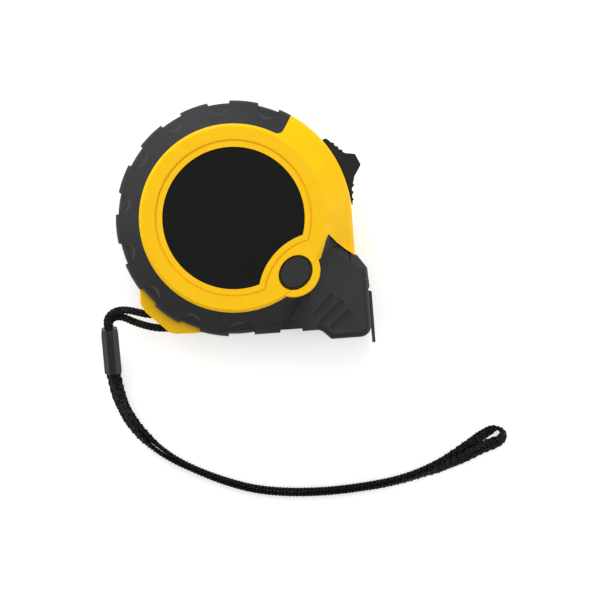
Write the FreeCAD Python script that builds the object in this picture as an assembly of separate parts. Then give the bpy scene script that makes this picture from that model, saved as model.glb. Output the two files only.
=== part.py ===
import FreeCAD, Part
import math
import os

from FreeCAD import Vector

# Pocket tape measure, 5 m x 19 mm class, lying on its back.
# Frame: origin on the spool axis at the rest face, +X to the mouth, +Y to the top of the case,
# +Z along the spool axis to the front face.  Millimetres.
# Case pieces are drawn as halves with h = 0 at the parting plane, then moved to z = MID.

# ---- case -------------------------------------------------------------------------------------
THICKNESS = 35.0
MID = THICKNESS / 2.0
HALF = THICKNESS / 2.0
RIM_R = 35.6                      # round back of the case
FACE_R = 28.4                     # flat yellow face inside the rubber band
SHOULDER_H = 11.3                 # where the band's slope meets the rim wall
BAND_H = 16.6                     # where the band's slope meets the face
NOSE_H = 15.7                     # side face of the nose
NOSE_X = 38.9                     # front wall under the mouth
NOSE_TOP_Y = -18.1
FOOT_Y = -38.4
BASE_Y = -35.4
FRONT_X = 35.65                   # straight front wall above the nose
RUBBER_T = 2.2
TREAD_DEPTH = 0.8
TREAD_R = 3.35
TOP_END_R = 2.0                   # rounded corner where the rubber stops at the top
TREAD_CONE_R = 2.9                # cone that widens a scoop towards the face
TREAD_CONE_FROM = 12.2
TREAD_CONE_H = 4.0
TREAD_CONE_SLOPE = 0.55
TREAD_PITCH = 25.0                # degrees
TREAD_FIRST = 68.5                # degrees, the one nearest the top front
TREAD_COUNT = 9
BASE_TREAD_X = (0.4, 14.8)
BEVEL_CREASE = ((28.9, -11.6), (37.9, -18.5))
BEVEL_FALL = 48.0                 # degrees
BACK_CREASE = ((23.2, -38.0), (20.6, -21.0))
BACK_FALL = 27.0
TRENCH_DEPTH = 0.7
GROOVE_W = 1.5
GROOVE_DEPTH = 0.35

# ---- face details -------------------------------------------------------------------------------
BADGE_R = 21.4
LIP_W = 1.7
CHANNEL_W = 0.55
BADGE_T = 1.3
BADGE_TOP_H = 16.9
LIP_TOP_H = 17.25
CHANNEL_FLOOR_H = 17.0
NOTCH_CENTRE = (25.4, -25.7)
NOTCH_R = 19.8
POD_CENTRE = (16.7, -16.9)
POD_R = 8.2

# ---- brake button -------------------------------------------------------------------------------
BUTTON_CENTRE = (17.4, -17.7)
BUTTON_A = 5.3
BUTTON_B = 4.4
BUTTON_TILT = 46.0
BUTTON_MOAT = 0.35
BUTTON_WELL_H = 13.9              # floor of the well the button sinks into
BUTTON_SKIRT_H = 15.7             # underside of the button
BUTTON_TOP_H = 17.4
BUTTON_TRAVEL = 1.3
STEM_R = 1.3
STEM_FIT = 0.05
PAD_R = 3.0
PAD_T = 0.8
PAD_TOP_H = 12.9                  # top of the rubber pad, at rest
PAD_POCKET_R = 3.6
WELL_FLOOR_BOTTOM_H = 13.0
CONE_SPRING_OUT_R = 3.7           # cone-shaped return washer round the stem
CONE_SPRING_IN_R = 1.7
CONE_SPRING_T = 0.3

# ---- spool and blade ------------------------------------------------------------------------------
CAVITY_R = 26.5
CAVITY_H = 11.3
POST_R = 2.95
POST_FIT = 0.05
POST_SOCKET_H = 13.2
DRUM_R = 15.0
DRUM_WALL = 1.4
HUB_R = 4.4
FLANGE_R = 24.9
FLANGE_T = 0.8
FLANGE_H = 10.0                   # inner face of each flange
COIL_R = 23.7
BLADE_W = 19.0
BLADE_T = 0.2
BLADE_RISE = 1.8                  # how far the cupped blade's edges stand above its middle
BLADE_Y = -24.45                  # top of the blade in its middle
BLADE_TAIL_X = 8.5
BLADE_TIP_X = 39.0
SPRING_STRIP_T = 0.4
SPRING_STRIP_PITCH = 1.1
SPRING_STRIP_W = 17.0
SPRING_STRIP_R = 5.6
SPRING_HALF_TURNS = 14

# ---- mouth and end hook ---------------------------------------------------------------------------
MOUTH_TOP_Y = -22.1
MOUTH_BOTTOM_Y = -26.9
MOUTH_H = 10.0
JAW_X = 39.35
JAW_H = 11.0
JAW_BOTTOM_Y = -24.0
HOOK_T = 0.8
HOOK_GAP_X = 39.1                 # inner face of the hook's plate
HOOK_BOTTOM_Y = -40.3
HOOK_W = 18.0
HOOK_PLAY = 0.8
TONGUE_Y = -24.7                  # top of the tongue, under the blade
TONGUE_TAIL_X = 26.5
TONGUE_W = 9.0
RIVET_R = 1.0
RIVET_HEAD_R = 1.9
RIVET_HEAD_T = 0.45
RIVET_X = (29.5, 34.5)
RIVET_FIT = 0.06

# ---- thumb lock -----------------------------------------------------------------------------------
LEVER_H = 8.0
LEVER_GAP = 0.25
LEVER_SWEEP = 9.0                 # degrees about the spool axis
LEVER_STEM_FROM = 13.0
LEVER_STEM_TO = 25.0
STEM_H = 3.0
ARM_IN_R = 28.2
ARM_OUT_R = 30.3
ARM_END = -39.0
ARM_PAD_END = -44.0
ARM_CLEARANCE = 0.5

# ---- screws ---------------------------------------------------------------------------------------
SCREW_SHANK_R = 1.2
SCREW_HOLE_R = 1.4
SCREW_HEAD_R = 2.4
SCREW_HEAD_T = 1.7
SCREW_SEAT_H = 10.2
SCREW_TIP_H = 8.5
SCREW_RING_R = 30.2
SCREW_ANGLES = (78.0, 158.0, 248.0)
SCREW_NOSE = (31.5, -31.8)

# ---- strap lug, ferrule and cords -------------------------------------------------------------------
LUG_H = 7.5
LUG_SLOT_H = 2.1
LUG_POST = (-21.0, -29.4)
LUG_POST_R = 0.95
LUG_POST_DEPTH = 5.5
CORD_D = 2.2
FERRULE_BOTTOM = Vector(-40.5, -43.8, 2.9)
FERRULE_TOP = Vector(-40.6, -30.4, 7.6)
FERRULE_R = 2.6
FERRULE_TAPER = 1.9
FERRULE_MOUTH_R = 2.35
STRAP_W = 4.2
STRAP_T = 1.3

parts = {}


# ---- drawing helpers ------------------------------------------------------------------------------

def disc(radius, low, high, centre=(0.0, 0.0)):
    return Part.makeCylinder(radius, high - low, Vector(centre[0], centre[1], low))


def ring(inner, outer, low, high):
    return disc(outer, low, high).cut(disc(inner, low - 1, high + 1))


def block(x0, x1, y0, y1, low, high):
    return Part.makeBox(x1 - x0, y1 - y0, high - low, Vector(x0, y0, low))


def corner_arc(before, point, after, radius):
    """Start, middle and end of the arc that rounds a corner."""
    back = (before - point).normalize()
    ahead = (after - point).normalize()
    half = math.acos(max(-1.0, min(1.0, back.dot(ahead)))) / 2.0
    reach = radius / math.tan(half)
    inward = (back + ahead).normalize()
    middle = point + inward * (radius / math.sin(half) - radius)
    return point + back * reach, middle, point + ahead * reach


def rounded_wire(corners):
    """Closed wire in the XY plane through (x, y, corner radius) points."""
    points = [Vector(x, y, 0) for x, y, _ in corners]
    count = len(points)
    joints = []
    for i, (_, _, radius) in enumerate(corners):
        if radius > 0:
            joints.append(corner_arc(points[i - 1], points[i], points[(i + 1) % count], radius))
        else:
            joints.append((points[i], None, points[i]))
    edges = []
    for i in range(count):
        start, middle, end = joints[i]
        if middle is not None:
            edges.append(Part.Arc(start, middle, end).toShape())
        following = joints[(i + 1) % count][0]
        if (following - end).Length > 1e-6:
            edges.append(Part.makeLine(end, following))
    return Part.Wire(edges)


def prism(corners, low, high):
    """Prism on rounded corners given as (x, y) or (x, y, radius)."""
    full = [c if len(c) == 3 else (c[0], c[1], 0.0) for c in corners]
    solid = Part.Face(rounded_wire(full)).extrude(Vector(0, 0, high - low))
    solid.translate(Vector(0, 0, low))
    return solid


def turned(corners):
    """Solid of revolution about Z from (radius, height, corner radius) points."""
    full = [c if len(c) == 3 else (c[0], c[1], 0.0) for c in corners]
    face = Part.Face(rounded_wire(full))
    face.rotate(Vector(0, 0, 0), Vector(1, 0, 0), 90)
    return face.revolve(Vector(0, 0, 0), Vector(0, 0, 1), 360)


def sector(inner, outer, first, last, low, high):
    """Part of a ring between two angles in degrees."""
    rectangle = Part.makePolygon([Vector(inner, 0, low), Vector(outer, 0, low),
                                  Vector(outer, 0, high), Vector(inner, 0, high),
                                  Vector(inner, 0, low)])
    solid = Part.Face(rectangle).revolve(Vector(0, 0, 0), Vector(0, 0, 1), last - first)
    solid.rotate(Vector(0, 0, 0), Vector(0, 0, 1), first)
    return solid


def fuse(shapes):
    return shapes[0].fuse(shapes[1:]).removeSplitter() if len(shapes) > 1 else shapes[0]


def fillet_where(solid, radius, wanted):
    edges = [e for e in solid.Edges if wanted(e.CenterOfMass)]
    return solid.makeFillet(radius, edges)


def polar(radius, degrees):
    angle = math.radians(degrees)
    return radius * math.cos(angle), radius * math.sin(angle)


def front(shape):
    moved = shape.copy()
    moved.translate(Vector(0, 0, MID))
    return moved


def rear(shape):
    moved = shape.mirror(Vector(0, 0, 0), Vector(0, 0, 1))
    moved.translate(Vector(0, 0, MID))
    return moved


def oval(a, b, low, high):
    """Upright elliptical prism at the button's place and tilt."""
    curve = Part.Ellipse(Vector(0, 0, low), a, b).toShape()
    solid = Part.Face(Part.Wire([curve])).extrude(Vector(0, 0, high - low))
    solid.rotate(Vector(0, 0, 0), Vector(0, 0, 1), BUTTON_TILT)
    solid.translate(Vector(BUTTON_CENTRE[0], BUTTON_CENTRE[1], 0))
    return solid


# ---- outer form of one half of the case ---------------------------------------------------------------

def round_body(inset=0.0):
    return turned([(0, 0), (RIM_R - inset, 0), (RIM_R - inset, SHOULDER_H - inset / 2, 2.6),
                   (FACE_R + 0.2 - inset / 2, BAND_H - inset, 0.3),
                   (FACE_R - 0.8, HALF - inset, 0.5), (0, HALF - inset)])


def slope_cut(first, second, height, fall):
    """Tool that takes away all above a plane falling from a crease, to the left of first to second."""
    along = Vector(second[0] - first[0], second[1] - first[1], 0)
    tool = Part.makeBox(90, 40, 40, Vector(-30, 0, 0))
    tool.rotate(Vector(0, 0, 0), Vector(1, 0, 0), -fall)
    tool.rotate(Vector(0, 0, 0), Vector(0, 0, 1), math.degrees(math.atan2(along.y, along.x)))
    tool.translate(Vector(first[0], first[1], height))
    return tool


def nose_block(inset=0.0):
    """Square nose with a foot: bevelled to the yellow front, sloped gently into the band behind it."""
    top = NOSE_H - inset
    front_x = NOSE_X - inset
    solid = prism([(13.0, -21.0), (13.0, BASE_Y + inset), (23.7, BASE_Y + inset, 3.0),
                   (26.7 + inset / 2, FOOT_Y + inset, 0.9), (front_x, FOOT_Y + inset, 3.4),
                   (front_x, NOSE_TOP_Y, 1.2), (35.6 - inset, -13.4 - inset, 0.8),
                   (28.0, -6.0), (22.0, -9.0)], 0, top)
    solid = fillet_where(solid, 1.7, lambda c: c.z > top - 0.01 and (c.y < -30 or c.x > 37 - inset))
    solid = solid.cut(slope_cut(BEVEL_CREASE[0], BEVEL_CREASE[1], top, BEVEL_FALL))
    return solid.cut(slope_cut(BACK_CREASE[0], BACK_CREASE[1], top, BACK_FALL))


def bevel_trench():
    """Sunk strip of the rubber along the yellow front's edge, at the foot of the bevel."""
    strip = prism([(28.6, -7.2), (34.3, -12.6), (34.3, -15.4), (28.0, -10.1)], 0, HALF)
    kept = [round_body(TRENCH_DEPTH), nose_block(TRENCH_DEPTH)] + straight_sides(TRENCH_DEPTH)
    return strip.cut(fuse(kept))


def straight_sides(inset=0.0):
    """Fills out the flat base and the straight front wall beside the round back."""
    top = SHOULDER_H + 0.4 - inset
    base = prism([(0, -20), (0, BASE_Y + inset), (25, BASE_Y + inset), (25, -20)], 0, top)
    base = fillet_where(base, 1.6, lambda c: c.z > top - 0.01 and c.y < -30)
    wall = prism([(20, 0), (20, -20), (FRONT_X - inset, -20), (FRONT_X - inset, 0)], 0, top)
    wall = fillet_where(wall, 2.4, lambda c: c.z > top - 0.01 and c.x > 30)
    return [base, wall]


def upper_jaw():
    """Lip over the mouth, at the middle of the nose."""
    solid = prism([(34.5, -13.6), (35.9, -13.3, 0.5), (39.0, -17.7, 0.9), (JAW_X, JAW_BOTTOM_Y, 0.5),
                   (34.5, JAW_BOTTOM_Y)], 0, JAW_H)
    return fillet_where(solid, 0.8, lambda c: c.z > JAW_H - 0.01 and c.x > 36)


def half_form():
    return fuse([round_body(), nose_block()] + straight_sides() + [upper_jaw()])


def core_form():
    """What lies under the rubber."""
    return fuse([round_body(RUBBER_T), nose_block(RUBBER_T)] + straight_sides(RUBBER_T))


def lug_block():
    solid = prism([(-24.0, -14.0), (-29.9, -18.7), (-30.1, -23.6, 1.6), (-28.6, -26.4, 1.2),
                   (-21.9, -32.9, 1.2), (-19.5, -33.5, 1.0), (-8.0, -33.8), (-8.0, -26.0)], 0, LUG_H)
    return fillet_where(solid, 0.7, lambda c: c.z > LUG_H - 0.01 and (c.x < -25 or c.y < -29))


def lug_slot():
    """Slot that the cord passes through, flared to the lug's slanted edge."""
    return prism([(-40.0, -22.6), (-26.0, -25.9, 4.0), (-17.4, -25.9, 3.0), (-17.4, -32.8, 3.0), (-40.0, -32.8)],
                 -LUG_SLOT_H, LUG_SLOT_H)


def rubber_region(with_pod):
    """Plan area that the rubber covers, down to the band's inner circle."""
    spike = [(28.05, -6.8), (27.1, -8.8), (26.4, -10.8), (25.3, -13.7), (24.4, -14.6)]
    bevel_foot = [(35.5, -13.6), (32.9, -11.7), (30.4, -9.5)]
    top_end = [(12.6, 18.6), (17.9, 26.9, 8.0), (20.0, 30.6), (24.0, 38.0)]
    region = prism(top_end + [(24, 60), (-60, 60), (-60, -60), (60, -60), (60, -13.6)]
                   + bevel_foot + spike + [(19, -16), (0, -15), (-15, 0)], -1, HALF + 1)
    region = region.cut(disc(FACE_R, -2, HALF + 2))
    region = fillet_where(region, TOP_END_R, lambda c: abs(c.z - HALF / 2) < 0.1 and c.x > 14 and c.y > 22
                          and math.hypot(c.x, c.y) < FACE_R + 0.1)
    if with_pod:
        region = region.cut(disc(POD_R, -2, HALF + 2, POD_CENTRE))
    return region


def pod_plate():
    """Flat yellow plate round the button, standing a little above the nose."""
    plate = disc(POD_R, SHOULDER_H, HALF - 0.15, POD_CENTRE)
    return fillet_where(plate, 0.4, lambda c: c.z > HALF - 0.16)


def tread_cuts():
    """Shallow half-round scoops along the rim and the base, their inner ends sloped."""
    scoops = []
    for i in range(TREAD_COUNT):
        x, y = polar(RIM_R - 0.2, TREAD_FIRST + i * TREAD_PITCH)
        scoops.append(disc(TREAD_R, -1, HALF + 1, (x, y)))
        scoops.append(Part.makeCone(TREAD_CONE_R, TREAD_CONE_R + TREAD_CONE_H * TREAD_CONE_SLOPE, TREAD_CONE_H,
                                    Vector(x, y, TREAD_CONE_FROM)))
    for x in BASE_TREAD_X:
        scoops.append(disc(TREAD_R, -1, HALF + 1, (x, BASE_Y + 0.1)))
    inner = fuse([round_body(TREAD_DEPTH), straight_sides(TREAD_DEPTH)[0], nose_block(TREAD_DEPTH)])
    return fuse(scoops).cut(inner)


def grip_grooves():
    grooves = []
    for x0, y0, x1, y1 in ((21.3, -32.0, 27.5, -25.6), (24.1, -33.1, 30.4, -27.8), (27.5, -34.7, 32.4, -31.0)):
        length = math.hypot(x1 - x0, y1 - y0)
        bar = Part.makeBox(length, GROOVE_W, 3.0, Vector(0, -GROOVE_W / 2, NOSE_H - GROOVE_DEPTH))
        for end in (0, length):
            bar = bar.fuse(Part.makeCylinder(GROOVE_W / 2, 3.0, Vector(end, 0, NOSE_H - GROOVE_DEPTH)))
        bar.rotate(Vector(0, 0, 0), Vector(0, 0, 1), math.degrees(math.atan2(y1 - y0, x1 - x0)))
        bar.translate(Vector(x0, y0, 0))
        grooves.append(bar)
    return fuse(grooves)


def badge_area(grow, low, high, notched=True):
    area = disc(BADGE_R + grow, low, high)
    if notched:
        area = area.cut(disc(NOTCH_R - grow, low - 1, high + 1, NOTCH_CENTRE))
    return area


def inner_space():
    """Spool chamber, blade channel, mouth, and the ways for the lock, on one side of the parting plane."""
    chamber = disc(CAVITY_R, -1, CAVITY_H)
    channel = block(0, NOSE_X + 2, MOUTH_BOTTOM_Y, MOUTH_TOP_Y, -1, MOUTH_H)
    arm_way = sector(CAVITY_R - 1, ARM_OUT_R + 0.6, ARM_PAD_END - LEVER_SWEEP - 4,
                     LEVER_STEM_TO + 3, -1, STEM_H + ARM_CLEARANCE)
    stem_way = sector(ARM_IN_R, RIM_R + 2, LEVER_STEM_FROM - LEVER_SWEEP - 2, LEVER_STEM_TO + 2,
                      -1, STEM_H + ARM_CLEARANCE)
    return fuse([chamber, channel, arm_way, stem_way, disc(POST_R, -1, POST_SOCKET_H)])


def screw_places():
    return [polar(SCREW_RING_R, a) for a in SCREW_ANGLES] + [SCREW_NOSE]


def lug_post_shape(margin=0.0):
    return disc(LUG_POST_R + margin, 0, LUG_POST_DEPTH, LUG_POST)


# ---- shells, rubber and badges --------------------------------------------------------------------------

def shells_and_rubber():
    form = half_form()
    core = core_form()
    lug = lug_block()
    space = inner_space()
    slot = lug_slot()
    tread = tread_cuts()
    grooves = grip_grooves()
    trench = bevel_trench()
    sides = (("front", True, front), ("rear", False, rear))
    for side, is_front, place in sides:
        region = rubber_region(is_front)
        shell = form.cut(region).fuse([core, lug])
        rubber = form.common(region).cut(core).cut(lug)
        rubber = rubber.cut([tread, grooves, trench, space, slot])
        if is_front:
            shell = shell.fuse(pod_plate())
            rubber = rubber.cut(disc(POD_R, 0, HALF + 1, POD_CENTRE))
        pocket = badge_area(LIP_W + CHANNEL_W, CHANNEL_FLOOR_H, HALF + 1, is_front)
        pocket = pocket.cut(badge_area(LIP_W, 0, LIP_TOP_H, is_front))
        badge_top = BADGE_TOP_H if is_front else HALF
        seat = badge_area(0.0, badge_top - BADGE_T, HALF + 1, is_front)
        shell = shell.cut(pocket).cut(seat).cut(space).cut(slot).cut(lug_post_shape())
        for place_xy in screw_places():
            if is_front:
                shell = shell.cut(disc(SCREW_SHANK_R, -1, SCREW_TIP_H + 0.4, place_xy))
            else:
                shell = shell.cut(disc(SCREW_HOLE_R, -1, HALF, place_xy))
                well = disc(SCREW_HEAD_R + 0.25, SCREW_SEAT_H, HALF + 1, place_xy)
                shell = shell.cut(well)
                rubber = rubber.cut(well)
        if is_front:
            well = oval(BUTTON_A + BUTTON_MOAT, BUTTON_B + BUTTON_MOAT, BUTTON_WELL_H, HALF + 1)
            stem_hole = disc(STEM_R + STEM_FIT, 0, HALF, BUTTON_CENTRE)
            pad_pocket = disc(PAD_POCKET_R, 0, WELL_FLOOR_BOTTOM_H, BUTTON_CENTRE)
            shell = shell.cut(well).cut(stem_hole).cut(pad_pocket)
        badge = badge_area(-0.05, badge_top - BADGE_T, badge_top, is_front)
        parts[side + "_shell"] = place(shell)
        parts[side + "_bumper"] = place(rubber)
        parts[side + "_badge"] = place(badge)


# ---- spool ----------------------------------------------------------------------------------------------

def mainspring_strip():
    """Flat spiral of half circles whose centres alternate."""
    step = SPRING_STRIP_PITCH / 2.0
    edges = []
    for side in (1, -1):
        chain = []
        for k in range(SPRING_HALF_TURNS):
            centre = 0.0 if k % 2 == 0 else step
            radius = SPRING_STRIP_R + k * step + side * SPRING_STRIP_T / 2.0
            up = 1 if k % 2 == 0 else -1
            start = Vector(centre + up * radius, 0, 0)
            middle = Vector(centre, up * radius, 0)
            end = Vector(centre - up * radius, 0, 0)
            chain.append(Part.Arc(start, middle, end).toShape())
        edges.append(chain)
    first_gap = Part.makeLine(edges[0][0].Vertexes[0].Point, edges[1][0].Vertexes[0].Point)
    last_gap = Part.makeLine(edges[0][-1].Vertexes[-1].Point, edges[1][-1].Vertexes[-1].Point)
    wire = Part.Wire(Part.__sortEdges__(edges[0] + [last_gap] + edges[1] + [first_gap]))
    strip = Part.Face(wire).extrude(Vector(0, 0, SPRING_STRIP_W))
    strip.translate(Vector(0, 0, -SPRING_STRIP_W / 2.0))
    return strip


def spool():
    bore = disc(POST_R + POST_FIT, -HALF, HALF)
    lower_flange = disc(FLANGE_R, -FLANGE_H - FLANGE_T, -FLANGE_H)
    barrel = ring(DRUM_R - DRUM_WALL, DRUM_R, -FLANGE_H, FLANGE_H)
    hub = disc(HUB_R, -FLANGE_H, FLANGE_H)
    drum = fuse([lower_flange, barrel, hub]).cut(bore)
    cover = disc(FLANGE_R, FLANGE_H, FLANGE_H + FLANGE_T).cut(bore)
    for i in range(6):
        x, y = polar(9.2, 60 * i)
        cover = cover.cut(disc(1.6, 0, HALF, (x, y)))
    parts["drum"] = front(drum)
    parts["drum_cover"] = front(cover)
    parts["blade_coil"] = front(ring(DRUM_R, COIL_R, -BLADE_W / 2, BLADE_W / 2))
    parts["mainspring"] = front(mainspring_strip())
    parts["centre_post"] = front(disc(POST_R, -POST_SOCKET_H, POST_SOCKET_H))


# ---- blade and end hook ------------------------------------------------------------------------------------

def blade_section(x):
    """Cupped cross-section of the blade in the plane at x."""
    half = BLADE_W / 2.0
    top = Part.Arc(Vector(x, BLADE_Y + BLADE_RISE, -half), Vector(x, BLADE_Y, 0),
                   Vector(x, BLADE_Y + BLADE_RISE, half)).toShape()
    below = Part.Arc(Vector(x, BLADE_Y + BLADE_RISE - BLADE_T, half), Vector(x, BLADE_Y - BLADE_T, 0),
                     Vector(x, BLADE_Y + BLADE_RISE - BLADE_T, -half)).toShape()
    ends = [Part.makeLine(Vector(x, BLADE_Y + BLADE_RISE, side), Vector(x, BLADE_Y + BLADE_RISE - BLADE_T, side))
            for side in (half, -half)]
    return Part.Face(Part.Wire(Part.__sortEdges__([top, ends[0], below, ends[1]])))


def along_y(radius, x, top, bottom):
    """Upright round bar in the case's Y direction."""
    return Part.makeCylinder(radius, top - bottom, Vector(x, bottom, 0), Vector(0, 1, 0))


def blade_and_hook():
    blade = blade_section(BLADE_TAIL_X).extrude(Vector(BLADE_TIP_X - BLADE_TAIL_X, 0, 0))
    head_seat_y = BLADE_Y + 0.1
    tongue_bottom = TONGUE_Y - HOOK_T
    for i, x in enumerate(RIVET_X, 1):
        blade = blade.cut(along_y(RIVET_R, x, 0, -HALF * 2))
        rivet = fuse([along_y(RIVET_R, x, head_seat_y, tongue_bottom - 0.05),
                      along_y(RIVET_HEAD_R, x, head_seat_y + RIVET_HEAD_T, head_seat_y),
                      along_y(RIVET_HEAD_R, x, tongue_bottom - 0.05, tongue_bottom - 0.05 - RIVET_HEAD_T)])
        parts["hook_rivet_%d" % i] = front(rivet)
    parts["blade"] = front(blade)

    half = HOOK_W / 2.0
    plate = Part.makeBox(HOOK_T, TONGUE_Y - HOOK_BOTTOM_Y, HOOK_W, Vector(HOOK_GAP_X, HOOK_BOTTOM_Y, -half))
    narrow = 6.5
    for side in (1, -1):
        shoulder = Part.makePolygon([Vector(0, TONGUE_Y + 1, side * narrow), Vector(0, TONGUE_Y - 3.5, side * narrow),
                                     Vector(0, TONGUE_Y - 6.5, side * half), Vector(0, TONGUE_Y - 6.5, side * (half + 1)),
                                     Vector(0, TONGUE_Y + 1, side * (half + 1)), Vector(0, TONGUE_Y + 1, side * narrow)])
        plate = plate.cut(Part.Face(shoulder).extrude(Vector(60, 0, 0)))
    tongue = Part.makeBox(HOOK_GAP_X + HOOK_T - TONGUE_TAIL_X, HOOK_T, TONGUE_W,
                          Vector(TONGUE_TAIL_X, tongue_bottom, -TONGUE_W / 2))
    hook = plate.fuse(tongue).removeSplitter()
    outer = [e for e in hook.Edges if abs(e.CenterOfMass.x - HOOK_GAP_X - HOOK_T) < 0.01
             and abs(e.CenterOfMass.y - TONGUE_Y) < 0.01]
    hook = hook.makeFillet(HOOK_T * 0.8, outer)
    teeth = 9
    pitch = HOOK_W / teeth
    for i in range(teeth + 1):
        notch = Part.makeCylinder(0.42, 4, Vector(HOOK_GAP_X - 0.1, HOOK_BOTTOM_Y, -half + i * pitch), Vector(1, 0, 0))
        hook = hook.cut(notch)
    for x in RIVET_X:
        slot = fuse([along_y(RIVET_R + RIVET_FIT, x - HOOK_PLAY - 0.02, 0, -HALF * 2),
                     along_y(RIVET_R + RIVET_FIT, x + 0.02, 0, -HALF * 2),
                     Part.makeBox(HOOK_PLAY + 0.04, 40, 2 * (RIVET_R + RIVET_FIT),
                                  Vector(x - HOOK_PLAY - 0.02, -40, -RIVET_R - RIVET_FIT))])
        hook = hook.cut(slot)
    parts["end_hook"] = front(hook)


# ---- thumb lock ----------------------------------------------------------------------------------------------

def thumb_lock():
    under = RIM_R + LEVER_GAP
    cap = prism([(26.0, 20.0), (28.6, 21.9, 0.4), (29.6, 22.1, 0.5), (34.6, 17.3, 3.0), (37.9, 16.8, 0.7),
                 (39.4, 13.4, 0.7), (37.3, 10.2, 2.0), (36.2, 6.4, 4.0), (36.1, 1.6, 0.2), (34.0, 1.6)],
                -LEVER_H, LEVER_H)
    ribs = [(31.4, 20.3), (32.6, 19.1), (33.8, 18.0), (36.5, 7.5), (36.2, 5.3), (36.05, 3.2)]
    cap = cap.fuse([disc(0.42, -LEVER_H, LEVER_H, place) for place in ribs])
    wall_when_locked = block(20, FRONT_X + LEVER_GAP / 2, -20, 0.5, -HALF, HALF)
    wall_when_locked.rotate(Vector(0, 0, 0), Vector(0, 0, 1), LEVER_SWEEP)
    cap = cap.cut(disc(under, -HALF, HALF)).cut(wall_when_locked)
    cap = cap.cut(block(20, FRONT_X + LEVER_GAP / 2, -5, 3, -HALF, HALF))
    stem = sector(ARM_IN_R, under + 0.8, LEVER_STEM_FROM, LEVER_STEM_TO, -STEM_H, STEM_H)
    arm = sector(ARM_IN_R, ARM_OUT_R, ARM_END, LEVER_STEM_TO, -STEM_H, STEM_H)
    lever = fuse([cap, stem, arm])
    pad = sector(ARM_IN_R, ARM_OUT_R, ARM_PAD_END, ARM_END, -STEM_H, STEM_H)
    parts["lock_lever"] = front(lever)
    parts["lock_pad"] = front(pad)


# ---- brake button ---------------------------------------------------------------------------------------------

def brake_button():
    cap = oval(BUTTON_A, BUTTON_B, BUTTON_SKIRT_H, BUTTON_TOP_H)
    cap = fillet_where(cap, 0.7, lambda c: c.z > BUTTON_TOP_H - 0.01)
    pad_bottom = PAD_TOP_H - PAD_T
    stem = disc(STEM_R, PAD_TOP_H, BUTTON_SKIRT_H, BUTTON_CENTRE)
    parts["brake_button"] = front(fuse([cap, stem]))
    parts["brake_pad"] = front(disc(PAD_R, pad_bottom, PAD_TOP_H, BUTTON_CENTRE))
    low = BUTTON_WELL_H + 0.02
    high = BUTTON_SKIRT_H - 0.02
    washer = turned([(CONE_SPRING_OUT_R - CONE_SPRING_T, low), (CONE_SPRING_OUT_R, low),
                     (CONE_SPRING_IN_R + CONE_SPRING_T, high), (CONE_SPRING_IN_R, high)])
    washer.translate(Vector(BUTTON_CENTRE[0], BUTTON_CENTRE[1], 0))
    parts["button_spring"] = front(washer)


# ---- screws and lug post ----------------------------------------------------------------------------------------

def case_screws():
    for i, (x, y) in enumerate(screw_places(), 1):
        shank = disc(SCREW_SHANK_R, -SCREW_TIP_H, SCREW_SEAT_H, (x, y))
        head = disc(SCREW_HEAD_R, SCREW_SEAT_H, SCREW_SEAT_H + SCREW_HEAD_T, (x, y))
        head = fillet_where(head, 0.5, lambda c: c.z > SCREW_SEAT_H + SCREW_HEAD_T - 0.01)
        screw = fuse([shank, head])
        top = SCREW_SEAT_H + SCREW_HEAD_T
        for length, width in ((2.8, 0.6), (0.6, 2.8)):
            screw = screw.cut(block(x - length / 2, x + length / 2, y - width / 2, y + width / 2, top - 0.9, top + 1))
        parts["case_screw_%d" % i] = rear(screw)


def lug_post():
    parts["strap_post"] = front(disc(LUG_POST_R, -LUG_POST_DEPTH, LUG_POST_DEPTH, LUG_POST))


# ---- ferrule, cord and strap ------------------------------------------------------------------------------------

FERRULE_AXIS = (FERRULE_TOP - FERRULE_BOTTOM).normalize()
FERRULE_LENGTH = (FERRULE_TOP - FERRULE_BOTTOM).Length
STRAND_SIDE = (Vector(0, 0, 1) - FERRULE_AXIS * FERRULE_AXIS.z).normalize()


def ferrule():
    """Eight-sided crimped sleeve, tapered where the cord comes out."""
    def ring_wire(radius, height):
        points = [Vector(*polar(radius, 22.5 + 45 * i), height) for i in range(9)]
        return Part.makePolygon(points)
    corner = FERRULE_R / math.cos(math.radians(22.5))
    mouth = FERRULE_MOUTH_R / math.cos(math.radians(22.5))
    body = Part.makeLoft([ring_wire(corner, 0), ring_wire(corner, FERRULE_LENGTH - FERRULE_TAPER)], True, True)
    taper = Part.makeLoft([ring_wire(corner, FERRULE_LENGTH - FERRULE_TAPER),
                           ring_wire(mouth, FERRULE_LENGTH)], True, True)
    sleeve = fuse([body, taper])
    across = FERRULE_AXIS.cross(STRAND_SIDE)
    placement = FreeCAD.Placement(FreeCAD.Matrix(
        across.x, STRAND_SIDE.x * -1, FERRULE_AXIS.x, FERRULE_BOTTOM.x,
        across.y, STRAND_SIDE.y * -1, FERRULE_AXIS.y, FERRULE_BOTTOM.y,
        across.z, STRAND_SIDE.z * -1, FERRULE_AXIS.z, FERRULE_BOTTOM.z,
        0, 0, 0, 1))
    sleeve.Placement = placement
    return sleeve


def run_radius(before, point, after):
    """0.45 of the shorter run, divided by the tangent of half the turn."""
    back = before - point
    ahead = after - point
    turn = math.pi - back.getAngle(ahead)
    return 0.45 * min(back.Length, ahead.Length) / math.tan(turn / 2.0), math.degrees(turn)


def route_pieces(points):
    """Straight runs and tangent arcs along a route, as (start, middle or None, end)."""
    pieces = []
    place = points[0]
    radii = []
    for before, point, after in zip(points, points[1:], points[2:]):
        radius, turn = run_radius(before, point, after)
        radii.append((round(radius, 1), round(turn)))
        start, middle, end = corner_arc(before, point, after, radius)
        pieces.append((place, None, start))
        pieces.append((start, middle, end))
        place = end
    pieces.append((place, None, points[-1]))
    return pieces, radii


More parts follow.
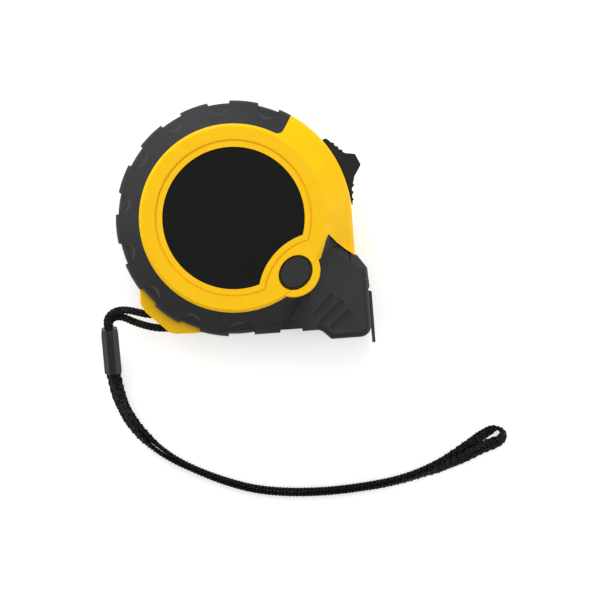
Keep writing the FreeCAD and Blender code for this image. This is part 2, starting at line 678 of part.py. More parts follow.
def route_length(pieces):
    total = 0.0
    for start, middle, end in pieces:
        edge = Part.makeLine(start, end) if middle is None else Part.Arc(start, middle, end).toShape()
        total += edge.Length
    return total


HITCH_ROUTE = [
    Vector(-40.7, -31.2, 8.5),
    Vector(-41.3, -28.6, 9.2),
    Vector(-40.3, -26.4, 10.4),
    Vector(-37.7, -25.0, 12.0),
    Vector(-34.2, -25.2, 13.9),
    Vector(-31.0, -26.2, 15.9),
    Vector(-27.4, -27.2, 17.3),
    Vector(-23.6, -27.35, 17.55),
    Vector(-18.9, -27.3, 17.5),
    Vector(-18.9, -31.5, 17.5),
    Vector(-23.4, -31.55, 17.45),
    Vector(-26.6, -31.1, 16.9),
    Vector(-29.8, -30.1, 15.2),
    Vector(-33.0, -28.8, 12.7),
    Vector(-35.9, -27.2, 10.7),
    Vector(-38.5, -26.9, 8.8),
    Vector(-40.6, -28.2, 7.2),
    Vector(-40.6, -30.6, 6.3),
]

STRAP_Z = STRAP_W / 2 + 0.05
STRAP_PLAN = [
    (-39.4, -43.4), (-38.4, -48.9), (-36.2, -55.3), (-32.2, -62.0), (-26.6, -67.7), (-19.2, -72.7),
    (-10.0, -77.6), (0.7, -81.4), (12.3, -83.5), (24.1, -84.1), (36.0, -83.2), (47.2, -81.3),
    (56.8, -78.2), (64.3, -74.1), (70.4, -69.9), (75.5, -68.9), (77.8, -71.8), (74.9, -75.2),
    (69.4, -77.7), (62.4, -80.3), (54.3, -82.5), (44.5, -84.3), (33.7, -85.7), (22.5, -85.9),
    (11.1, -85.6), (-0.2, -83.6), (-10.6, -80.0), (-20.4, -75.3), (-28.5, -69.9), (-34.9, -63.3),
    (-38.9, -56.0), (-40.9, -49.5), (-41.7, -43.6),
]
STRAP_ROUTE = [Vector(x, y, STRAP_Z) for x, y in STRAP_PLAN]


def round_cord(points, diameter):
    pieces, radii = route_pieces(points)
    edges = []
    for start, middle, end in pieces:
        edges.append(Part.makeLine(start, end) if middle is None else Part.Arc(start, middle, end).toShape())
    wire = Part.Wire(edges)
    heading = (points[1] - points[0]).normalize()
    section = Part.Wire([Part.Circle(points[0], heading, diameter / 2).toShape()])
    cord = wire.makePipeShell([section], True, False)
    return cord, radii, wire.Length


def flat_strap(points, width, thickness):
    """Band standing on edge along a level route: both long sides drawn in plan, then raised."""
    pieces, radii = route_pieces(points)
    up = Vector(0, 0, 1)
    rows = {1: [], -1: []}
    for start, middle, end in pieces:
        if middle is None:
            side = up.cross((end - start).normalize())
            for way, row in rows.items():
                row.append(Part.makeLine(start + side * way * thickness / 2, end + side * way * thickness / 2))
        else:
            centre = Part.Arc(start, middle, end).toShape().Curve.Center
            turn_left = (middle - start).cross(end - middle).z > 0
            for way, row in rows.items():
                shift = -way * thickness / 2 if turn_left else way * thickness / 2
                moved = [p + (p - centre).normalize() * shift for p in (start, middle, end)]
                row.append(Part.Arc(*moved).toShape())
    caps = []
    for index in (0, -1):
        at = rows[1][index].Vertexes[index].Point
        across = rows[-1][index].Vertexes[index].Point
        caps.append(Part.makeLine(at, across))
    wire = Part.Wire(Part.__sortEdges__(rows[1] + rows[-1] + caps))
    band = Part.Face(wire).extrude(Vector(0, 0, width))
    band.translate(Vector(0, 0, -width / 2))
    return band, radii, route_length(pieces)


def cords():
    parts["strap_ferrule"] = ferrule()
    cord, radii, length = round_cord(HITCH_ROUTE, CORD_D)
    parts["hitch_cord"] = cord
    print("hitch_cord radii and turns", radii)
    print("hitch_cord length %.1f volume %.1f section*length %.1f"
          % (length, cord.Volume, length * math.pi * CORD_D ** 2 / 4))
    strap, radii, length = flat_strap(STRAP_ROUTE, STRAP_W, STRAP_T)
    parts["wrist_strap"] = strap
    print("wrist_strap radii and turns", radii)
    print("wrist_strap length %.1f volume %.1f section*length %.1f"
          % (length, strap.Volume, length * STRAP_W * STRAP_T))


def main():
    shells_and_rubber()
    spool()
    blade_and_hook()
    thumb_lock()
    brake_button()
    case_screws()
    lug_post()
    cords()
    os.makedirs("parts", exist_ok=True)
    for name, shape in parts.items():
        print("%-16s valid=%s solids=%d volume=%.1f" % (name, shape.isValid(), len(shape.Solids), shape.Volume))
        shape.exportStep("parts/%s.step" % name)


main()
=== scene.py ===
"""Looks for the pocket tape measure: materials, braided cord and strap, light and camera."""
import math

import bpy
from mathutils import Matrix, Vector


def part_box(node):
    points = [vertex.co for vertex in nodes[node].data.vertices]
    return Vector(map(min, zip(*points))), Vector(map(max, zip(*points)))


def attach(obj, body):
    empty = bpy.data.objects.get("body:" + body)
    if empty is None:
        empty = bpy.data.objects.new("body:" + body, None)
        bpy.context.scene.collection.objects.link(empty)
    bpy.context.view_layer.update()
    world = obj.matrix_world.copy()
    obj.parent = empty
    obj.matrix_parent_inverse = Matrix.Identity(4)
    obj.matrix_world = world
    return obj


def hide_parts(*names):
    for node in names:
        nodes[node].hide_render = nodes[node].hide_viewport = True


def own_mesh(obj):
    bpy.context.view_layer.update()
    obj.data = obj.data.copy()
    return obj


MM = 0.001

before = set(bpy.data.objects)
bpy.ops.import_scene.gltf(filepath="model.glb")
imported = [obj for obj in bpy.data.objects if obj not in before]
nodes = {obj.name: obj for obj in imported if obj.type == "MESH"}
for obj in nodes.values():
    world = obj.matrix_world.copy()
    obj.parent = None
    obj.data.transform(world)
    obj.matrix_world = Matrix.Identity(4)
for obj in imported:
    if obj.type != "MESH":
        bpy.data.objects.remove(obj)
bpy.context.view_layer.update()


# ---- camera, floor and light ------------------------------------------------------------------

VIEW_CENTRE = Vector((18.1, -26.0, 35.0)) * MM
VIEW_WIDTH = 180 * MM
CAMERA_DISTANCE = 1.6
CAMERA_ROLL = math.radians(-4.2)
CAMERA_REACH = 20                 # metres: past the whole floor
SENSOR_WIDTH = 36.0               # millimetres, as Blender counts lens and sensor
FLOOR_HALF_SIDE = 6.0
FLOOR_DROP = 0.0001               # keeps the sheet just clear of the tape's rest face
FLOOR_GLOW = 0.45                 # the sheet is lit from below as well, like a light table
LIGHT_TARGET = (0.01, -0.02, 0.01)
WORLD_STRENGTH = 0.38


def make_camera():
    """Looks straight down on the tape, rolled a little, with a long lens."""
    data = bpy.data.cameras.new("camera")
    data.sensor_width = SENSOR_WIDTH
    data.lens = data.sensor_width * CAMERA_DISTANCE / VIEW_WIDTH
    data.clip_end = CAMERA_REACH
    camera = bpy.data.objects.new("camera", data)
    camera.location = VIEW_CENTRE + Vector((0, 0, CAMERA_DISTANCE))
    camera.rotation_euler = (0, 0, CAMERA_ROLL)
    bpy.context.scene.collection.objects.link(camera)
    bpy.context.scene.camera = camera


def make_floor():
    """A plain pale sheet, much larger than the view."""
    mesh = bpy.data.meshes.new("floor")
    side = FLOOR_HALF_SIDE
    corners = [(-side, -side, 0), (side, -side, 0), (side, side, 0), (-side, side, 0)]
    mesh.from_pydata(corners, [], [(0, 1, 2, 3)])
    floor = bpy.data.objects.new("floor", mesh)
    floor.location.z = -FLOOR_DROP
    bpy.context.scene.collection.objects.link(floor)
    material, shader, _ = new_material("floor_paper", 0.9)
    shader.inputs["Base Color"].default_value = (0.80, 0.80, 0.795, 1)
    shader.inputs["Emission Color"].default_value = (1.0, 1.0, 0.995, 1)
    shader.inputs["Emission Strength"].default_value = FLOOR_GLOW
    shader.inputs["Specular IOR Level"].default_value = 0.1
    mesh.materials.append(material)


def area_light(name, place, size, power):
    """Soft rectangular light in watts, aimed at the tape and not seen by the camera."""
    data = bpy.data.lights.new(name, "AREA")
    data.shape = "RECTANGLE"
    data.size, data.size_y = size
    data.energy = power
    light = bpy.data.objects.new(name, data)
    light.location = place
    aim = Vector(LIGHT_TARGET) - Vector(place)
    light.rotation_euler = aim.to_track_quat("-Z", "Y").to_euler()
    light.visible_camera = False
    bpy.context.scene.collection.objects.link(light)


def make_light():
    """Four soft lights, a white surround and the plain view transform."""
    area_light("overhead", (0.1, 0.15, 1.5), (1.2, 1.2), 8.0)
    area_light("top_strip", (-0.25, 0.95, 0.5), (1.1, 0.4), 8.0)
    area_light("right_strip", (1.0, -0.15, 0.3), (0.8, 0.4), 3.8)
    area_light("left_fill", (-0.95, 0.2, 0.5), (0.9, 0.5), 3.0)
    world = bpy.data.worlds.new("studio")
    bpy.context.scene.world = world
    world.use_nodes = True
    background = world.node_tree.nodes["Background"]
    background.inputs["Color"].default_value = (1.0, 1.0, 1.0, 1)
    background.inputs["Strength"].default_value = WORLD_STRENGTH
    view = bpy.context.scene.view_settings
    view.view_transform = "Standard"
    view.look = "None"


# ---- material helpers ---------------------------------------------------------------------------

MIX_FACTOR, MIX_A, MIX_B = 0, 6, 7    # a Mix node's sockets when it mixes colours
MIX_RESULT = 2


def new_material(name, roughness):
    """A node material, its shader and its node tree."""
    material = bpy.data.materials.new(name)
    material.use_nodes = True
    tree = material.node_tree
    shader = tree.nodes["Principled BSDF"]
    shader.inputs["Roughness"].default_value = roughness
    return material, shader, tree


def add(tree, kind, **inputs):
    node = tree.nodes.new(kind)
    for name, value in inputs.items():
        node.inputs[name.replace("_", " ")].default_value = value
    return node


def noise(tree, scale, detail, rough, stretch=None):
    """Noise over the piece's own coordinates; scale is in features per metre."""
    coordinates = tree.nodes.new("ShaderNodeTexCoord")
    texture = add(tree, "ShaderNodeTexNoise", Scale=scale, Detail=detail, Roughness=rough)
    if stretch is None:
        tree.links.new(coordinates.outputs["Object"], texture.inputs["Vector"])
    else:
        mapping = tree.nodes.new("ShaderNodeMapping")
        mapping.inputs["Scale"].default_value = stretch
        tree.links.new(coordinates.outputs["Object"], mapping.inputs["Vector"])
        tree.links.new(mapping.outputs["Vector"], texture.inputs["Vector"])
    return texture.outputs["Fac"]


def ramp(tree, source, low, high, out_low=0.0, out_high=1.0):
    """The source's stretch from low to high, spread from out_low to out_high."""
    node = tree.nodes.new("ShaderNodeMapRange")
    node.inputs["From Min"].default_value = low
    node.inputs["From Max"].default_value = high
    node.inputs["To Min"].default_value = out_low
    node.inputs["To Max"].default_value = out_high
    tree.links.new(source, node.inputs["Value"])
    return node.outputs["Result"]


def math_node(tree, operation, a, b=None):
    """One Math node; a and b are numbers or sockets."""
    node = tree.nodes.new("ShaderNodeMath")
    node.operation = operation
    for socket, value in zip(node.inputs, (a, b)):
        if value is None:
            continue
        if isinstance(value, (int, float)):
            socket.default_value = value
        else:
            tree.links.new(value, socket)
    return node.outputs[0]


def blend_colours(tree, factor, first, second):
    """First at factor 0, second at factor 1; each is a colour or a socket."""
    node = tree.nodes.new("ShaderNodeMix")
    node.data_type = "RGBA"
    for socket, value in zip((node.inputs[MIX_A], node.inputs[MIX_B]), (first, second)):
        if isinstance(value, tuple):
            socket.default_value = (*value, 1.0)
        else:
            tree.links.new(value, socket)
    tree.links.new(factor, node.inputs[MIX_FACTOR])
    return node.outputs[MIX_RESULT]


def bump(tree, shader, height, distance, strength, under=None):
    """Relief of the given depth in metres, laid over the relief under it."""
    node = add(tree, "ShaderNodeBump", Strength=strength, Distance=distance)
    tree.links.new(height, node.inputs["Height"])
    if under is not None:
        tree.links.new(under, node.inputs["Normal"])
    tree.links.new(node.outputs["Normal"], shader.inputs["Normal"])
    return node.outputs["Normal"]


def edge_mask(tree, low=0.52, high=0.62):
    """Rises to 1 along convex edges. A thin plate with few vertices reads as edge all over."""
    geometry = tree.nodes.new("ShaderNodeNewGeometry")
    return ramp(tree, geometry.outputs["Pointiness"], low, high)


# ---- materials -------------------------------------------------------------------------------------

def moulded(name, base, shade, roughness, grain_scale, grain_depth, shine=0.3, scuff=0.5, sheen=0.0):
    """Moulded plastic or rubber: fine sprayed grain, slow colour drift, dulled scuffs and worn edges."""
    material, shader, tree = new_material(name, roughness)
    drift = ramp(tree, noise(tree, 60, 4, 0.6), 0.3, 0.7)
    specks = ramp(tree, noise(tree, grain_scale * 0.5, 2, 0.6), 0.52, 0.68)
    colour = blend_colours(tree, drift, base, shade)
    lighter = tuple(min(1.0, c * 1.12 + 0.001) for c in base)
    colour = blend_colours(tree, math_node(tree, "MULTIPLY", specks, 0.35), colour, lighter)
    worn = tuple(min(1.0, c * 1.12 + 0.007) for c in base)
    colour = blend_colours(tree, math_node(tree, "MULTIPLY", edge_mask(tree), 0.5), colour, worn)
    tree.links.new(colour, shader.inputs["Base Color"])
    streaks = noise(tree, 160, 5, 0.65, stretch=(1.0, 3.2, 1.0))
    rough = ramp(tree, streaks, 0.3, 0.75, roughness - 0.06 * scuff, roughness + 0.10 * scuff)
    tree.links.new(rough, shader.inputs["Roughness"])
    grain = noise(tree, grain_scale, 2, 0.5)
    soft = bump(tree, shader, noise(tree, 90, 2, 0.5), 0.00006, 0.5)
    bump(tree, shader, grain, grain_depth, 1.0, soft)
    shader.inputs["Specular IOR Level"].default_value = shine
    shader.inputs["Sheen Weight"].default_value = sheen
    shader.inputs["Sheen Roughness"].default_value = 0.5
    return material


def brushed(name, base, dark, roughness, stretch):
    """Plated or bare steel with drawn lines and dull patches."""
    material, shader, tree = new_material(name, roughness)
    lines = noise(tree, 900, 4, 0.6, stretch=stretch)
    patches = ramp(tree, noise(tree, 220, 4, 0.6), 0.35, 0.7)
    colour = blend_colours(tree, patches, base, dark)
    tree.links.new(colour, shader.inputs["Base Color"])
    rough = ramp(tree, lines, 0.3, 0.7, roughness - 0.08, roughness + 0.12)
    tree.links.new(rough, shader.inputs["Roughness"])
    bump(tree, shader, lines, 0.00002, 0.6)
    shader.inputs["Metallic"].default_value = 1.0
    return material


def black_oxide():
    """Blackened steel of the hook, rubbed a little paler in patches."""
    material, shader, tree = new_material("hook_black_oxide", 0.4)
    rubbed = ramp(tree, noise(tree, 700, 4, 0.7), 0.4, 0.6)
    wear = math_node(tree, "MULTIPLY", edge_mask(tree, 0.53, 0.66), rubbed)
    patches = ramp(tree, noise(tree, 300, 4, 0.6), 0.3, 0.7)
    black = blend_colours(tree, patches, (0.008, 0.008, 0.0085), (0.013, 0.013, 0.0135))
    colour = blend_colours(tree, wear, black, (0.035, 0.0345, 0.034))
    tree.links.new(colour, shader.inputs["Base Color"])
    rough = ramp(tree, noise(tree, 1500, 3, 0.6), 0.3, 0.7, 0.32, 0.5)
    tree.links.new(rough, shader.inputs["Roughness"])
    bump(tree, shader, noise(tree, 2600, 3, 0.6), 0.00002, 0.7)
    shader.inputs["Specular IOR Level"].default_value = 0.35
    return material


BLADE_HALF_WIDTH = 9.5
GRADUATIONS = ((1.0, 2.2, 0.16), (5.0, 3.6, 0.20), (10.0, 5.6, 0.26))    # pitch, length, width


def blade_paint():
    """Yellow lacquered blade with black graduations every millimetre, longer at five and ten."""
    material, shader, tree = new_material("blade_lacquer", 0.3)
    coordinates = tree.nodes.new("ShaderNodeTexCoord")
    split = tree.nodes.new("ShaderNodeSeparateXYZ")
    tree.links.new(coordinates.outputs["Object"], split.inputs["Vector"])
    along, across = split.outputs["X"], split.outputs["Z"]
    low_edge, high_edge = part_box("blade")
    centre = (low_edge.z + high_edge.z) / 2
    from_centre = math_node(tree, "ABSOLUTE", math_node(tree, "SUBTRACT", across, centre))
    from_edge = math_node(tree, "SUBTRACT", BLADE_HALF_WIDTH * MM, from_centre)
    ticks = None
    for pitch, length, width in GRADUATIONS:
        phase = math_node(tree, "PINGPONG", math_node(tree, "DIVIDE", along, pitch * MM), 0.5)
        line = math_node(tree, "LESS_THAN", phase, width / pitch / 2)
        short = math_node(tree, "LESS_THAN", from_edge, length * MM)
        tick = math_node(tree, "MULTIPLY", line, short)
        ticks = tick if ticks is None else math_node(tree, "MAXIMUM", ticks, tick)
    drift = ramp(tree, noise(tree, 120, 4, 0.6), 0.3, 0.7)
    paint = blend_colours(tree, drift, (0.86, 0.56, 0.03), (0.78, 0.48, 0.025))
    printed = blend_colours(tree, ticks, paint, (0.012, 0.012, 0.012))
    tree.links.new(printed, shader.inputs["Base Color"])
    rough = ramp(tree, noise(tree, 500, 4, 0.6), 0.3, 0.7, 0.22, 0.4)
    tree.links.new(rough, shader.inputs["Roughness"])
    bump(tree, shader, noise(tree, 1400, 2, 0.5), 0.00001, 0.6)
    shader.inputs["Coat Weight"].default_value = 0.4
    return material


def yarn_material(name, base, light):
    """Spun polyester: black yarns with a painted highlight on their crests, fine twisted filaments and a
    little fuzz.
    """
    material, shader, tree = new_material(name, 0.5)
    uv = tree.nodes.new("ShaderNodeTexCoord")
    split = tree.nodes.new("ShaderNodeSeparateXYZ")
    tree.links.new(uv.outputs["UV"], split.inputs["Vector"])
    twist = math_node(tree, "ADD", math_node(tree, "MULTIPLY", split.outputs["X"], 1.1),
                      math_node(tree, "MULTIPLY", split.outputs["Y"], 5.0))
    half_turns = math_node(tree, "MULTIPLY", twist, math.pi)
    filaments = math_node(tree, "ABSOLUTE", math_node(tree, "SINE", half_turns))
    fuzz = noise(tree, 5200, 3, 0.7)
    height = math_node(tree, "ADD", filaments, math_node(tree, "MULTIPLY", fuzz, 0.6))
    bump(tree, shader, height, 0.00006, 0.9)
    # Painted highlight: the yarn's crests, where it faces along its thin axis, are painted in the light
    # colour, in noisy patches along the filaments.
    round_angle = math_node(tree, "MULTIPLY", split.outputs["Y"], 2 * math.pi)
    facing = math_node(tree, "ABSOLUTE", math_node(tree, "SINE", round_angle))
    crest_highlight_mask = math_node(tree, "POWER", facing, 3.0)
    patches = ramp(tree, noise(tree, 900, 4, 0.7), 0.42, 0.66)
    painted_highlight_amount = math_node(tree, "MULTIPLY", math_node(tree, "MULTIPLY", crest_highlight_mask, patches), filaments)
    tree.links.new(blend_colours(tree, painted_highlight_amount, base, light), shader.inputs["Base Color"])
    tree.links.new(ramp(tree, fuzz, 0.3, 0.7, 0.5, 0.72), shader.inputs["Roughness"])
    shader.inputs["Specular IOR Level"].default_value = 0.12
    return material


def make_materials():
    """Makes each look and gives it to the CAD nodes that wear it."""
    yellow = (0.87, 0.50, 0.0022)
    yellow_shade = (0.84, 0.47, 0.002)
    rubber = (0.0205, 0.0208, 0.0215)
    rubber_shade = (0.0165, 0.0168, 0.0173)
    looks = {
        "yellow": moulded("case_yellow", yellow, yellow_shade, 0.42, 2600, 0.000012,
                          shine=0.1, scuff=0.6),
        "rubber": moulded("jacket_rubber", rubber, rubber_shade, 0.52, 3400, 0.00003,
                          shine=0.2, sheen=0.02),
        "badge": moulded("badge_grain", (0.0034, 0.0034, 0.0032), (0.0045, 0.0045, 0.0042), 0.5,
                         4200, 0.00004, shine=0.06, scuff=0.3),
        "lever": moulded("lever_plastic", (0.006, 0.006, 0.0062), (0.008, 0.008, 0.0082), 0.42,
                         2400, 0.00002, shine=0.15),
        "button": moulded("button_plastic", (0.0125, 0.0125, 0.0125), (0.015, 0.015, 0.015), 0.4,
                          2400, 0.00002, shine=0.2),
        "ferrule": moulded("ferrule_plastic", (0.011, 0.011, 0.0115), (0.014, 0.014, 0.0145), 0.34,
                           1800, 0.00002, shine=0.35),
        "drum": moulded("drum_plastic", (0.05, 0.05, 0.055), (0.06, 0.06, 0.065), 0.45, 1800, 0.00002),
        "spring": brushed("spring_steel", (0.42, 0.43, 0.46), (0.3, 0.31, 0.34), 0.32, (1, 1, 12)),
        "bright": brushed("bright_steel", (0.62, 0.62, 0.62), (0.5, 0.5, 0.49), 0.28, (1, 12, 1)),
        "screw": brushed("screw_zinc", (0.5, 0.5, 0.49), (0.36, 0.36, 0.35), 0.34, (1, 1, 1)),
        "hook": black_oxide(),
        "blade": blade_paint(),
    }
    wearing = {
        "yellow": ("front_shell", "rear_shell"),
        "rubber": ("front_bumper", "rear_bumper", "lock_pad", "brake_pad"),
        "badge": ("front_badge", "rear_badge"),
        "lever": ("lock_lever",),
        "button": ("brake_button",),
        "ferrule": ("strap_ferrule",),
        "drum": ("drum", "drum_cover"),
        "spring": ("mainspring", "button_spring"),
        "bright": ("centre_post", "hook_rivet_1", "hook_rivet_2", "strap_post"),
        "screw": tuple(n for n in nodes if n.startswith("case_screw")),
        "hook": ("end_hook",),
        "blade": ("blade", "blade_coil"),
    }
    for look, names in wearing.items():
        for name in names:
            data = nodes[name].data
            data.materials.clear()
            data.materials.append(looks[look])


# ---- cords ---------------------------------------------------------------------------------------------

# Control points in millimetres: the hitch cord's are the CAD's own. The strap's run from the sleeve along the
# upper leg, round the end loop and back along the lower leg.
HITCH_ROUTE = [
    (-40.7, -31.2, 8.5), (-41.3, -28.6, 9.2), (-40.3, -26.4, 10.4), (-37.7, -25.0, 12.0),
    (-34.2, -25.2, 13.9), (-31.0, -26.2, 15.9), (-27.4, -27.2, 17.3), (-23.6, -27.35, 17.55),
    (-18.9, -27.3, 17.5), (-18.9, -31.5, 17.5), (-23.4, -31.55, 17.45), (-26.6, -31.1, 16.9),
    (-29.8, -30.1, 15.2), (-33.0, -28.8, 12.7), (-35.9, -27.2, 10.7), (-38.5, -26.9, 8.8),
    (-40.6, -28.2, 7.2), (-40.6, -30.6, 6.3),
]
STRAP_ROUTE = [
    (-40.3, -43.4, 3.65), (-39.6, -48.0, 3.6), (-38.5, -52.7, 3.6), (-36.3, -57.5, 3.5), (-33.1, -62.2, 3.3),
    (-29.0, -66.7, 3.1), (-24.0, -71.1, 3.0), (-17.7, -75.0, 3.0), (-9.4, -78.8, 3.0), (-0.1, -82.1, 3.0),
    (9.6, -83.7, 3.0), (19.3, -84.3, 3.0), (29.1, -84.1, 3.0), (38.4, -83.3, 3.0), (46.6, -82.0, 2.9),
    (54.3, -79.5, 2.7), (60.9, -76.4, 2.6), (66.3, -73.7, 2.5), (71.0, -71.1, 2.4), (73.9, -69.6, 2.4),
    (76.4, -69.5, 2.35), (77.2, -71.4, 2.3), (76.3, -73.3, 2.2), (73.6, -74.1, 2.15), (70.2, -75.1, 2.1),
    (66.3, -76.8, 2.1), (61.5, -78.7, 2.15), (55.1, -81.0, 2.2), (47.2, -83.1, 2.2), (38.6, -84.6, 2.2),
    (29.1, -85.4, 2.2), (19.3, -85.6, 2.2), (9.4, -85.0, 2.2), (-0.4, -83.3, 2.2), (-10.0, -79.8, 2.2),
    (-18.1, -75.7, 2.2), (-24.9, -72.0, 2.2), (-30.3, -67.8, 2.2), (-34.5, -63.1, 2.2), (-37.5, -58.0, 2.2),
    (-39.3, -52.9, 2.0), (-40.3, -48.0, 1.8), (-40.8, -43.4, 2.15),
]
CORD_CARRIERS = 5                 # yarns each way round
CORD_PITCH = 6.5
CORD_STEP = 0.22                  # how far apart the rings of a yarn lie
BRAID_D = 2.5                     # over the crests of the yarns
STRAP_W = 4.2
STRAP_T = 1.6
STRAP_CARRIERS = 7
STRAP_PITCH = 15.0
STRAP_STEP = 0.30
STRAP_YARN_HALF_WIDE = 0.50
STRAP_YARN_HALF_THICK = 0.34
EDGE_TURN = 0.8                   # radians: how softly a yarn turns back at the strap's edge
CROSSING_SHARPNESS = 3            # how quickly a yarn's way over or under changes sides at the edges
SAME_PLACE = 1e-5                 # metres: closer points are one point
# Along the strap: share of its length, and its lean in degrees from standing on edge.
STRAP_LEAN = [
    (0.0, 88), (0.02, 72), (0.05, 42), (0.075, 26), (0.10, 4), (0.13, 0), (0.34, 0), (0.38, 6),
    (0.42, 8), (0.435, 22), (0.45, 38), (0.468, 54), (0.48, 46), (0.491, 0), (0.503, -46),
    (0.515, -74), (0.545, -70), (0.575, -44), (0.60, -18), (0.64, -10), (0.68, 0), (0.87, 0),
    (0.90, -6), (0.925, -28), (0.95, -44), (0.98, -72), (1.0, -88),
]


def smooth_line(name, route):
    """Points read from the NURBS spline that has the route as its control points."""
    curve = bpy.data.curves.new(name, "CURVE")
    curve.dimensions = "3D"
    curve.resolution_u = 24
    spline = curve.splines.new("NURBS")
    spline.points.add(len(route) - 1)
    for point, place in zip(spline.points, route):
        point.co = (*(c * MM for c in place), 1.0)
    spline.order_u = 3
    spline.use_endpoint_u = True
    holder = bpy.data.objects.new(name, curve)
    mesh = bpy.data.meshes.new_from_object(holder)
    line = [mesh.vertices[0].co.copy()]
    for vertex in mesh.vertices:
        if (vertex.co - line[-1]).length > SAME_PLACE:
            line.append(vertex.co.copy())
    bpy.data.objects.remove(holder)
    bpy.data.curves.remove(curve)
    bpy.data.meshes.remove(mesh)
    return line


def line_length(line):
    """Length of the line in metres."""
    return sum((b - a).length for a, b in zip(line, line[1:]))


def even_frames(line, step):
    """Even places along the line as (point, heading, side, distance), the side carried along untwisted."""
    total = line_length(line)
    count = max(2, round(total / step))
    frames = []
    index = 0
    walked = 0.0
    side = Vector((0, 0, 1))
    for i in range(count + 1):
        target = total * i / count
        while index < len(line) - 2 and walked + (line[index + 1] - line[index]).length < target:
            walked += (line[index + 1] - line[index]).length
            index += 1
        start, end = line[index], line[index + 1]
        point = start.lerp(end, min(1.0, (target - walked) / max(1e-9, (end - start).length)))
        before = line[max(0, index - 1)]
        after = line[min(len(line) - 1, index + 2)]
        heading = (after - before).normalized()
        side = (side - heading * side.dot(heading)).normalized()
        frames.append((point, heading, side.copy(), target))
    return frames


def yarn(places, outs, half_wide, half_thick, verts, faces, uvs, sides=6):
    """Elliptical yarn through the places; each out vector points along its thin axis."""
    base = len(verts)
    run = 0.0
    last = len(places) - 1
    for i, (place, out) in enumerate(zip(places, outs)):
        heading = (places[min(last, i + 1)] - places[max(0, i - 1)]).normalized()
        out = (out - heading * out.dot(heading)).normalized()
        wide = heading.cross(out)
        if i:
            run += (place - places[i - 1]).length
        for k in range(sides):
            angle = 2 * math.pi * k / sides
            ring_place = place + wide * (half_wide * math.cos(angle)) + out * (half_thick * math.sin(angle))
            verts.append(ring_place)
            uvs.append((run / (2 * half_wide), k / sides))
    for i in range(last):
        for k in range(sides):
            a = base + i * sides + k
            b = base + i * sides + (k + 1) % sides
            faces.append((a, b, b + sides, a + sides))
    faces.append(tuple(base + k for k in reversed(range(sides))))
    faces.append(tuple(base + last * sides + k for k in range(sides)))


def mesh_object(name, verts, faces, uvs, material):
    """A smooth piece from the yarns' vertices, faces and lengthwise coordinates."""
    mesh = bpy.data.meshes.new(name)
    mesh.from_pydata(verts, [], faces)
    layer = mesh.uv_layers.new(name="yarn")
    for loop in mesh.loops:
        layer.data[loop.index].uv = uvs[loop.vertex_index]
    mesh.polygons.foreach_set("use_smooth", [True] * len(mesh.polygons))
    mesh.materials.append(material)
    mesh.validate()
    piece = bpy.data.objects.new(name, mesh)
    bpy.context.scene.collection.objects.link(piece)
    return piece


def round_braid(name, route, diameter, carriers, pitch, material):
    """Round cord: as many yarns each way round, crossing over and under, on a dark core."""
    line = smooth_line(name + "_line", route)
    frames = even_frames(line, CORD_STEP * MM)
    radius = diameter / 2
    thick = radius * 0.25
    wave = radius * 0.16
    middle = radius - thick - wave
    wide = 2 * math.pi * middle / carriers * 0.40
    verts, faces, uvs = [], [], []
    for way in (1, -1):
        for c in range(carriers):
            places, outs = [], []
            for point, heading, side, distance in frames:
                turn = 2 * math.pi * (way * distance / pitch + c / carriers)
                out = side * math.cos(turn) + heading.cross(side) * math.sin(turn)
                over = way * math.cos(2 * math.pi * carriers * distance / pitch)
                places.append(point + out * (middle + wave * over))
                outs.append(out)
            yarn(places, outs, wide, thick, verts, faces, uvs)
    core = [f[0] for f in frames]
    yarn(core, [f[2] for f in frames], middle * 0.95, middle * 0.95, verts, faces, uvs, sides=10)
    return mesh_object(name, verts, faces, uvs, material), line


def strap_lean(share):
    """How far the band leans from standing on edge, in degrees, eased from key to key."""
    for (at, value), (to, following) in zip(STRAP_LEAN, STRAP_LEAN[1:]):
        if share <= to:
            t = (share - at) / (to - at)
            return value + (following - value) * (t * t * (3 - 2 * t))
    return STRAP_LEAN[-1][1]


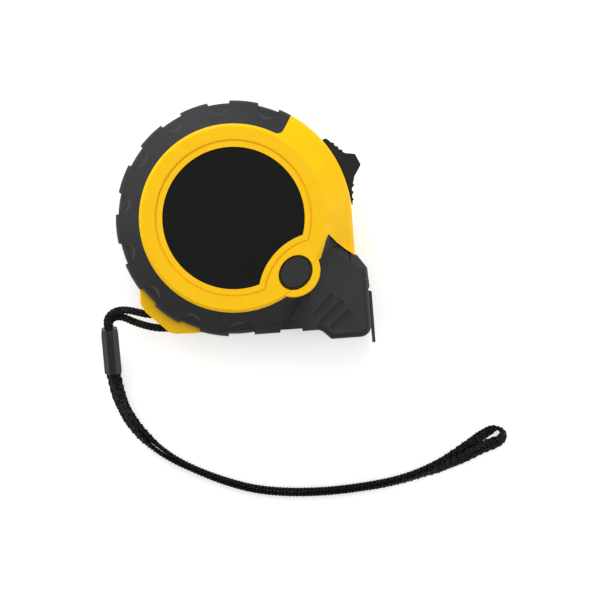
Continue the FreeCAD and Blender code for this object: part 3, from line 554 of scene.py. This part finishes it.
def flat_braid(name, route, width, thickness, carriers, pitch, material):
    """Open flat braid: yarns run zigzag from edge to edge, over and under each other."""
    line = smooth_line(name + "_line", route)
    frames = even_frames(line, STRAP_STEP * MM)
    total = frames[-1][3]
    half_wide = STRAP_YARN_HALF_WIDE * MM
    half_thick = STRAP_YARN_HALF_THICK * MM
    reach = width / 2 - half_wide
    wave = thickness / 2 - half_thick
    verts, faces, uvs = [], [], []
    for c in range(carriers):
        places, outs = [], []
        for point, heading, _, distance in frames:
            level = Vector((0, 0, 1)).cross(heading).normalized()
            up = heading.cross(level).normalized()
            lean = math.radians(strap_lean(distance / total))
            across = up * math.cos(lean) + level * math.sin(lean)
            out = heading.cross(across)
            phase = (distance / pitch + c / carriers) % 1.0
            zigzag = 1 - 4 * abs(phase - 0.5)
            zigzag = math.sin(zigzag * EDGE_TURN) / math.sin(EDGE_TURN)
            way = max(-1.0, min(1.0, CROSSING_SHARPNESS * math.sin(2 * math.pi * phase)))
            over = way * math.cos(2 * math.pi * carriers * phase)
            places.append(point + across * (reach * zigzag) + out * (wave * over))
            outs.append(out)
        yarn(places, outs, half_wide, half_thick, verts, faces, uvs)
    return mesh_object(name, verts, faces, uvs, material), line


def make_cords():
    """The hitch cord and the wrist strap, each in place of its CAD solid."""
    # The second colour is the painted highlight on the yarns' crests.
    black_yarn = yarn_material("cord_yarn", (0.0030, 0.0029, 0.0026), (0.065, 0.062, 0.058))
    cord, line = round_braid("hitch_braid", HITCH_ROUTE, BRAID_D * MM,
                             CORD_CARRIERS, CORD_PITCH * MM, black_yarn)
    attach(cord, "case")
    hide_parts("hitch_cord")
    strap, line = flat_braid("strap_braid", STRAP_ROUTE, STRAP_W * MM, STRAP_T * MM,
                             STRAP_CARRIERS, STRAP_PITCH * MM, black_yarn)
    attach(strap, "case")
    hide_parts("wrist_strap")


# ---- the button's return washer -------------------------------------------------------------------


def make_button_spring():
    """The cone-shaped return washer, a copy of its seated CAD node carried with the case in its place."""
    seated = nodes["button_spring"]
    washer = bpy.data.objects.new("return_washer", seated.data.copy())
    washer.matrix_world = seated.matrix_world
    bpy.context.scene.collection.objects.link(washer)
    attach(washer, "case")
    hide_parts("button_spring")
    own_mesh(washer)


make_camera()
make_cords()
make_floor()
make_light()
make_materials()
make_button_spring()
